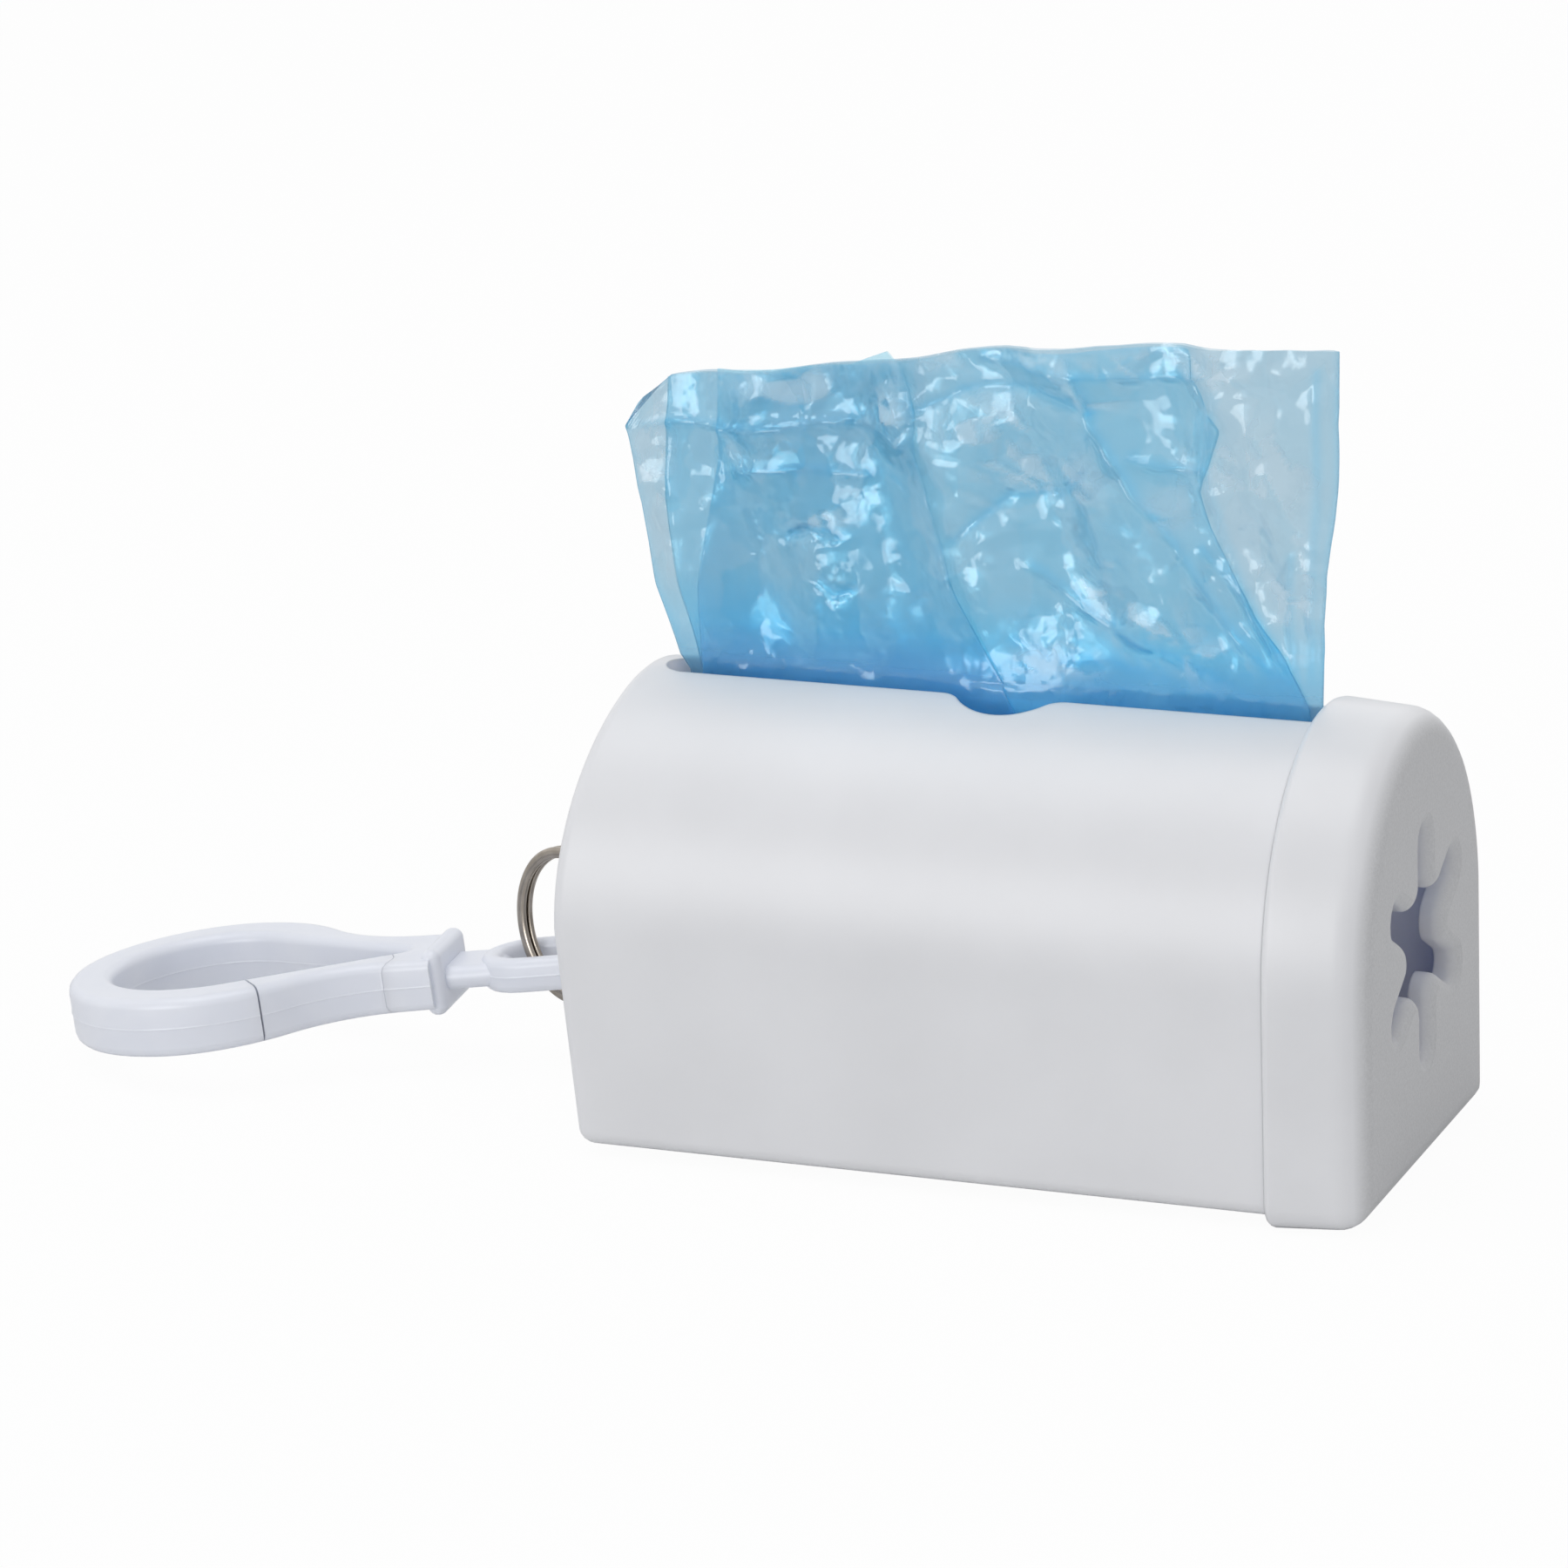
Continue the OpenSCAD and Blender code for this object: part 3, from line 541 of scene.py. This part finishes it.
# The drawn bag: three flattened, open-ended folds of film. Outlines and places are (x, z) in millimetres.
bagSet = {
    "slotZ": 46.5, "tailZ": 36.5, "slotHalf": 1.55, "columns": 340, "rows": 150, "bodyH": 45.8,
    "foldH": 1.6, "foldL": 17.0, "crossL": 27.0,
    "tubes": [
        {"name": "bagBackFold", "depth": 0.95, "seed": 3,
         "left": [(36.5, -35.1), (45.1, -35.1), (46.7, -36.2), (54.0, -38.4), (62.9, -39.9),
                  (70.6, -41.0), (73.8, -39.4), (75.6, -36.6), (83, -36.4)],
         "right": [(36.5, 32.1), (46.7, 32.5), (59.1, 32.9), (69.4, 33.7), (83, 34.2)],
         "top": [(-42, 69.6), (-41, 70.8), (-39.4, 73.8), (-36.6, 75.6), (-30.2, 76.6), (-16, 78.2),
                 (-2.5, 80.4), (5.5, 81.3), (16, 81.8), (26.4, 82.1), (35, 82.2)]},
        {"name": "bagMiddleFold", "depth": 0.0, "seed": 8,
         "left": [(36.5, -33.7), (45.3, -33.7), (49, -34.4), (55.3, -35.5), (63.2, -36.6), (75.6, -36.6),
                  (83, -36.6)],
         "right": [(36.5, 31.4), (46.1, 31.2), (51.0, 28.9), (55.5, 25.7), (59.5, 23.6), (64.0, 21.2),
                   (67.5, 20.1), (70.6, 21.3), (74.0, 22.6), (76.6, 21.0), (79.0, 19.4), (83, 18.6)],
         "top": [(-38, 75.0), (-36.6, 75.6), (-30.2, 76.5), (-16, 78.0), (-2.5, 80.3), (5.5, 81.1),
                 (16, 81.6), (26.4, 81.7)]},
        {"name": "bagFrontFold", "depth": -0.95, "seed": 15,
         "left": [(36.5, -33.4), (47.9, -33.6), (54.4, -33.1), (60.8, -32.2), (68.3, -30.7),
                  (77.2, -30.3), (83, -30.3)],
         "right": [(36.5, 1.6), (43.7, 0.8), (46.7, -0.5), (50.3, -2.8), (57.4, -5.9), (63.6, -7.3),
                   (69.7, -9.0), (73.9, -9.1), (78.4, -10.3), (83, -11.5)],
         "top": [(-31, 77.2), (-26.9, 77.6), (-16.5, 78.2), (-14.3, 79.2), (-11.9, 80.2), (-10.3, 78.4),
                 (-9, 76)]},
    ],
    # crumpled places: middle, half width and half height, and how strongly
    "crumpled": [(-21.6, 73.5, 9, 4.5, 0.9), (-11.0, 72.5, 3.6, 6, 1.3), (-20.4, 60.6, 5, 1.6, 0.9),
                 (-18.4, 55.2, 4.5, 1.5, 0.8), (-28.4, 66.9, 3.5, 3.5, 0.7), (-33, 57, 1.8, 12, 0.6),
                 (0, 79.4, 11, 2.4, 1.3), (12, 80.0, 12, 2.4, 1.2), (26, 79.5, 9, 3, 1.1),
                 (-2, 72.6, 6, 5, 1.2), (4, 71.0, 6, 5, 1.2), (0, 64.5, 6, 3.5, 1.2),
                 (13.5, 70, 6, 3, 1.1), (17.2, 63.7, 3.5, 5, 1.0), (10, 54.4, 8, 4.5, 1.1),
                 (18.0, 50.3, 6, 3, 1.1), (3.6, 47.8, 4, 2, 1.2), (26.5, 60, 5, 15, 0.9),
                 (31.5, 60, 2, 12, 1.2), (24, 50, 6, 5, 1.0), (-38.5, 68, 3, 8, 0.8),
                 (8.5, 76, 3, 3, 1.2)],
    # places whose facets lean to the light and get a painted white highlight: middle, half width and half
    # height, and how strongly
    "paintedHighlightPlaces": [(-1, 72, 6, 4.5, 1.0), (3.5, 67.5, 7, 4, 1.0), (8, 76.5, 5, 2.2, 0.8),
                    (10, 57, 5, 4, 1.0), (15.5, 53, 5, 3, 1.0), (21, 50.2, 4, 2.2, 0.9),
                    (5, 49.2, 4.5, 1.8, 1.1), (-20, 62.6, 3.6, 1.3, 1.0), (-18, 55.2, 3.2, 1.2, 0.9),
                    (-28.5, 70, 3, 2, 0.7), (-13, 73, 3, 3.2, 1.0), (-22, 75.8, 6, 1.8, 0.9),
                    (28, 70, 4, 6, 0.8), (29, 59, 3, 8, 0.8), (17, 66, 3, 2.5, 0.7), (22, 71, 4, 3, 0.7),
                    (-38.5, 67, 2.5, 6, 0.8), (1, 79.6, 12, 1.4, 0.9), (18, 79.8, 10, 1.4, 0.8)],
    # sharp creases: points, height and width
    "creases": [
        {"path": [(8.0, 78.5), (9.2, 73.5), (13.6, 67.1), (18.2, 61.7), (22.8, 53.7), (31.0, 45.6)],
         "height": -1.3, "width": 1.3},
        {"path": [(21.9, 77.3), (20.4, 69.6), (22.4, 62.5), (25.4, 55.5), (31.0, 46.1)],
         "height": -0.9, "width": 0.9},
        {"path": [(-41.0, 70.6), (-35.4, 71.2), (-29.3, 71.0), (-20.6, 72.1), (-15.1, 72.4), (-10.8, 70.6)],
         "height": -0.8, "width": 0.7},
        {"path": [(-6.3, 60.5), (-3.6, 62.8), (-0.3, 65.6), (5.1, 66.0), (7.8, 68.2)],
         "height": 0.9, "width": 1.6},
        {"path": [(2.2, 58.5), (8.0, 54.2), (14.3, 51.6), (20.6, 48.9), (27.4, 45.3)],
         "height": -1.1, "width": 1.8},
        {"path": [(20.3, 61.8), (23.9, 57.5), (27.5, 51.5), (30.5, 46.0)], "height": -0.8, "width": 0.9},
        {"path": [(29.4, 61.5), (29.1, 53.7), (30.0, 46.0)], "height": -0.6, "width": 0.6},
        {"path": [(31.9, 80), (31.7, 62), (31.2, 48)], "height": -0.45, "width": 0.4},
        {"path": [(-28.5, 66.5), (-22, 67.5), (-15, 66.8)], "height": -0.5, "width": 0.8},
        {"path": [(-3, 79.5), (6, 79.0), (14, 78.4), (20, 79.0)], "height": -0.6, "width": 0.7},
        {"path": [(-9.5, 74), (-4, 76.5), (2, 77), (9, 75)], "height": 0.6, "width": 1.0},
        {"path": [(13.1, 70.6), (16.0, 69.6), (19.9, 69.5)], "height": -0.7, "width": 0.5},
        {"path": [(-23.4, 60.2), (-20.8, 61.2), (-18.0, 60.4)], "height": 0.6, "width": 0.5},
        {"path": [(-20.2, 55.9), (-18.4, 54.6), (-16.6, 55.2)], "height": 0.5, "width": 0.5},
        {"path": [(0, 51), (5, 49), (10, 49.5), (17, 47.5)], "height": -0.6, "width": 1.0},
    ],
}
# height maps of crumpled film: facets this large and this high, drawn out along a direction
crumpleSet = {"step": 0.2, "low": (-46.0, 33.0), "high": (40.0, 86.0),
              "shared": [{"size": 8.0, "height": 0.95, "lean": 115, "draw": 1.5, "seed": 21},
                         {"size": 3.8, "height": 0.62, "lean": 60, "draw": 1.4, "seed": 22},
                         {"size": 1.9, "height": 0.30, "lean": 100, "draw": 1.5, "seed": 23}],
              "own": [{"size": 4.6, "height": 0.40, "lean": 80, "draw": 1.4},
                      {"size": 1.6, "height": 0.20, "lean": 110, "draw": 1.3}]}


def along(points, at):
    xs, ys = zip(*points)
    return np.interp(at, xs, ys)


# Distance of every point to a polyline
def distanceTo(path, x, z):
    best = np.full(x.shape, 1e9)
    for (ax, az), (bx, bz) in zip(path[:-1], path[1:]):
        dx, dz = bx - ax, bz - az
        t = np.clip(((x - ax) * dx + (z - az) * dz) / (dx * dx + dz * dz), 0, 1)
        best = np.minimum(best, np.hypot(x - ax - t * dx, z - az - t * dz))
    return best


# Smooth random waves about size millimetres long, between -1 and 1
def softWaves(x, z, seed, size, count=7):
    draw = np.random.default_rng(seed)
    total = np.zeros(x.shape)
    for _ in range(count):
        angle, phase = draw.uniform(0, math.pi), draw.uniform(0, 2 * math.pi)
        length = size * draw.uniform(0.6, 1.6)
        total += np.sin(2 * math.pi * (x * math.cos(angle) + z * math.sin(angle)) / length + phase)
    return total / math.sqrt(count) / 1.4


# Height map of flat facets that meet in sharp creases, as in crumpled film: random heights at scattered
# points, joined by flat triangles
def facetMap(s, level, seed):
    draw = np.random.default_rng(seed)
    (x0, z0), (x1, z1) = s["low"], s["high"]
    lean = math.radians(level["lean"])
    cx, cz = (x0 + x1) / 2, (z0 + z1) / 2
    reach = math.hypot(x1 - x0, z1 - z0) / 2 + 3 * level["size"]
    points = []
    longStep, shortStep = level["size"] * level["draw"], level["size"] / level["draw"]
    for i in range(int(-reach / longStep) - 1, int(reach / longStep) + 2):
        for j in range(int(-reach / shortStep) - 1, int(reach / shortStep) + 2):
            u = (i + draw.uniform(-0.48, 0.48) + 0.5 * (j % 2)) * longStep
            v = (j + draw.uniform(-0.48, 0.48)) * shortStep
            height = draw.uniform(-1, 1)
            x = cx + u * math.cos(lean) - v * math.sin(lean)
            z = cz + u * math.sin(lean) + v * math.cos(lean)
            if x0 - 2 * longStep < x < x1 + 2 * longStep and z0 - 2 * longStep < z < z1 + 2 * longStep:
                points.append((x, z, height))
    flat = [Vector(p[:2]) for p in points]
    verts, _, faces, origin, _, _ = geometry.delaunay_2d_cdt(flat, [], [], 0, 1e-6)
    heights = [points[o[0]][2] if o else 0.0 for o in origin]
    columns, rows = round((x1 - x0) / s["step"]) + 1, round((z1 - z0) / s["step"]) + 1
    result = np.zeros((rows, columns))
    for a, b, c in faces:
        (ax, az), (bx, bz), (dx, dz) = verts[a], verts[b], verts[c]
        area = (bx - ax) * (dz - az) - (dx - ax) * (bz - az)
        if abs(area) < 1e-9:
            continue
        i0 = max(math.ceil((min(ax, bx, dx) - x0) / s["step"]), 0)
        i1 = min(math.floor((max(ax, bx, dx) - x0) / s["step"]), columns - 1)
        j0 = max(math.ceil((min(az, bz, dz) - z0) / s["step"]), 0)
        j1 = min(math.floor((max(az, bz, dz) - z0) / s["step"]), rows - 1)
        if i1 < i0 or j1 < j0:
            continue
        gx = x0 + s["step"] * np.arange(i0, i1 + 1)[None, :]
        gz = z0 + s["step"] * np.arange(j0, j1 + 1)[:, None]
        p = ((gx - ax) * (dz - az) - (dx - ax) * (gz - az)) / area
        q = ((bx - ax) * (gz - az) - (gx - ax) * (bz - az)) / area
        inside = (p >= -1e-6) & (q >= -1e-6) & (p + q <= 1 + 1e-6)
        value = heights[a] * (1 - p - q) + heights[b] * p + heights[c] * q
        window = result[j0:j1 + 1, i0:i1 + 1]
        window[inside] = value[inside]
    return result * level["height"]


def sample(field, s, x, z):
    u = np.clip((x - s["low"][0]) / s["step"], 0, field.shape[1] - 1.001)
    v = np.clip((z - s["low"][1]) / s["step"], 0, field.shape[0] - 1.001)
    i, j = u.astype(int), v.astype(int)
    fu, fv = u - i, v - j
    low = field[j, i] * (1 - fu) + field[j, i + 1] * fu
    high = field[j + 1, i] * (1 - fu) + field[j + 1, i + 1] * fu
    return low * (1 - fv) + high * fv


# How far the film is free of the slot, from 0 to 1, and the main folds: both as part.scad has them
def looseness(z, s):
    t = np.clip((z - s["bodyH"] - 1.5) / 8.0, 0, 1)
    return t * t * (3 - 2 * t)


def mainFolds(x, z, s):
    up = z - s["bodyH"]
    long = 0.62 * np.sin(2 * math.pi * (x + 0.32 * up) / s["foldL"] + math.radians(250))
    cross = 0.38 * np.sin(2 * math.pi * (x - 0.5 * up) / s["crossL"] + math.radians(100))
    return s["foldH"] * (long + cross)


def bagTube(tube, s, crumple, shared):
    bm = bmesh.new()
    bmesh.ops.create_grid(bm, x_segments=s["columns"], y_segments=s["rows"], size=0.5)
    mesh = bpy.data.meshes.new(tube["name"])
    bm.to_mesh(mesh)
    bm.free()
    co = np.zeros(len(mesh.vertices) * 3)
    mesh.vertices.foreach_get("co", co)
    co = co.reshape(-1, 3)
    turn, rise = co[:, 0] + 0.5, co[:, 1] + 0.5
    # across the fold: front ply first, then the back ply
    there = 1 - np.abs(1 - 2 * turn)
    across = 0.75 * there + 0.25 * (1 - np.cos(math.pi * there)) / 2
    side = np.where(turn < 0.5, -1.0, 1.0)
    edge = np.clip(np.minimum(there, 1 - there) / 0.012, 0, 1)
    # the top edge depends on x and the side edges on z, so they are settled together
    z = s["tailZ"] + rise * 40.0
    for _ in range(12):
        left, right = along(tube["left"], z), along(tube["right"], z)
        x = left + across * (right - left)
        z = s["tailZ"] + rise * (along(tube["top"], x) - s["tailZ"])
    free = looseness(z, s)
    patch = 0.30 + 0.12 * softWaves(x, z, 77, 22)
    patch += np.where(x > -8.5 - 0.32 * (z - 68), 0.22, 0.0)
    for px, pz, width, height, strength in s["crumpled"]:
        patch = np.maximum(patch, strength * np.exp(-((x - px) / width) ** 2 - ((z - pz) / height) ** 2))
    own = sum(sample(facetMap(crumple, level, tube["seed"] + k), crumple, x, z)
              for k, level in enumerate(crumple["own"]))
    sharp = np.zeros(x.shape)
    # where the film doubles back or is creased it looks deeper blue
    doubled = 0.8 * np.exp(-np.minimum(there, 1 - there) * (right - left) / 0.45)
    for crease in s["creases"]:
        away = distanceTo(crease["path"], x, z)
        sharp += crease["height"] * np.exp(-away / crease["width"])
        doubled += 0.45 * np.exp(-(away / 0.5) ** 2)
    # how far each facet of the shared crumple leans to the light; the facets that lean most get the painted
    # highlight
    near = 0.12
    leanX = sample(shared, crumple, x + near, z) - sample(shared, crumple, x - near, z)
    leanZ = sample(shared, crumple, x, z + near) - sample(shared, crumple, x, z - near)
    lit = np.clip(((0.5 * leanX + 0.85 * leanZ) / (2 * near) + 0.02) / 0.14, 0, 1)
    spots = np.zeros(x.shape)
    for px, pz, width, height, strength in s["paintedHighlightPlaces"]:
        away = ((x - px) / width) ** 2 + ((z - pz) / height) ** 2
        spots = np.maximum(spots, strength * np.exp(-away ** 1.5))
    lit *= np.clip(spots, 0, 1)
    billow = 0.10 + 0.45 * free * (0.5 + 0.5 * softWaves(x, z, tube["seed"] + 30, 26))
    inSlot = 0.35 + 0.65 * free
    y = tube["depth"] * inSlot + side * edge * billow
    y += free * (mainFolds(x, z, s) + patch * sample(shared, crumple, x, z) + sharp)
    y += (0.12 + 0.88 * free) * patch * own * edge
    # a little belly towards the finger hole, where the film is free
    y -= 1.6 * np.exp(-((x / 5.5) ** 2) - ((z - 45.5) / 3.5) ** 2)
    limit = np.where(z < s["slotZ"], s["slotHalf"] + 3.0 * np.clip(1 - np.abs(x) / 6.0, 0, 1),
                     s["slotHalf"] + 9 * free + 0.15 * (z - s["slotZ"]))
    y = limit * np.tanh(y / limit)
    co[:, 0], co[:, 1], co[:, 2] = x * mm, y * mm, z * mm
    mesh.vertices.foreach_set("co", co.ravel())
    mesh.attributes.new("doubled", "FLOAT", "POINT").data.foreach_set("value", np.clip(doubled, 0, 1))
    # the lit mark: where the film material paints its white highlight
    mesh.attributes.new("lit", "FLOAT", "POINT").data.foreach_set("value", lit)
    mesh.update()
    bm = bmesh.new()
    bm.from_mesh(mesh)
    bmesh.ops.remove_doubles(bm, verts=[v for v in bm.verts if v.is_boundary], dist=0.004 * mm)
    bpy.data.meshes.remove(mesh)
    piece = pieceFrom(bm, tube["name"], filmPaintedReflection if tube["depth"] > 0 else bagFilm, "bag")
    width = (along(tube["right"], 62) - along(tube["left"], 62)) * 2 * mm
    height = (float(z.max()) - s["tailZ"]) * mm
    return piece


sharedCrumple = sum(facetMap(crumpleSet, level, level["seed"]) for level in crumpleSet["shared"])
tubes = [bagTube(t, bagSet, crumpleSet, sharedCrumple) for t in bagSet["tubes"]]
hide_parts("drawn_bag")
print("drawn bag ready")
